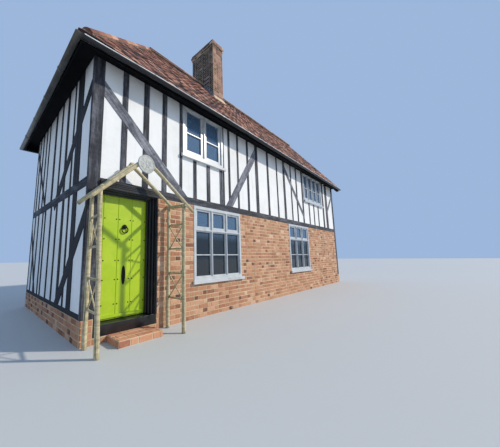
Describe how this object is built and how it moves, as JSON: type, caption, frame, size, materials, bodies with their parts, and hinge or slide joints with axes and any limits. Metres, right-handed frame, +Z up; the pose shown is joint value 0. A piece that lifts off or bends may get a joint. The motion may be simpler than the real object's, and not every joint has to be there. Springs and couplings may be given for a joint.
{
  "type": "half timbered house",
  "caption": "Narrow two-storey house of timber framing and brick under a steep tiled roof, with a door that opens inward and a pole arch in front of it.",
  "frame": {"origin": "on the ground under the middle of the walls, on the underside of the ground floor", "axes": "+X to the right along the front, +Y into the house towards the rear, +Z up"},
  "size_m": [11.3368, 5, 8.69],
  "materials": {
    "brick": "matt",
    "dark_brick": "matt",
    "floor_tile": "matt",
    "sunlit_timber": "weathered",
    "shaded_timber": "weathered",
    "limewash": "matt",
    "inner_timber": "sawn",
    "white_paint": "gloss",
    "glass": "clear",
    "black_paint": "satin",
    "green_paint": "satin",
    "iron": "matt",
    "clay_tile": "matt",
    "gutter": "satin",
    "larch": "peeled",
    "plaque_stone": "matt"
  },
  "bodies": {
    "house": {"ground_floor": "floor_tile", "brick_plinth": "brick", "front_brick_wall": "brick", "rear_brick_wall": "brick", "corner_posts": "sunlit_timber", "storey_beams": "sunlit_timber", "wall_plates": "sunlit_timber", "front_upper_studs": "sunlit_timber", "front_upper_braces": "sunlit_timber", "front_upper_plaster": "limewash", "rear_upper_studs": "sunlit_timber", "rear_upper_braces": "sunlit_timber", "rear_upper_plaster": "limewash", "left_end_studs": "shaded_timber", "left_end_braces": "shaded_timber", "left_end_plaster": "limewash", "right_end_studs": "shaded_timber", "right_end_braces": "shaded_timber", "right_end_plaster": "limewash", "upper_floor": "inner_timber", "floor_joists": "inner_timber", "ground_window_frames": "white_paint", "upper_window_frames": "white_paint", "ground_window_glass": "glass", "upper_window_glass": "glass", "door_frame": "black_paint", "door_step": "brick", "door_hinge_pins": "iron", "rafters": "inner_timber", "front_roof_slope": "clay_tile", "rear_roof_slope": "clay_tile", "left_hip_slope": "clay_tile", "ridge_tiles": "clay_tile", "hip_tiles": "clay_tile", "eaves_boards": "black_paint", "gutters": "gutter", "bargeboards": "black_paint", "chimney_stack": "dark_brick", "chimney_cap": "dark_brick", "arch_posts": "larch", "arch_roof": "larch", "arch_sides": "larch", "arch_plaque": "plaque_stone"},
    "door": {"front_door": "green_paint", "door_ironwork": "iron"}
  },
  "joints": [
    {"name": "front_door_hinge", "type": "hinge", "parent": "house", "child": "door", "pos_m": [-5.182, -1.745, 1.2], "axis": [0, 0, 1], "range_deg": [0, 90]}
  ]
}
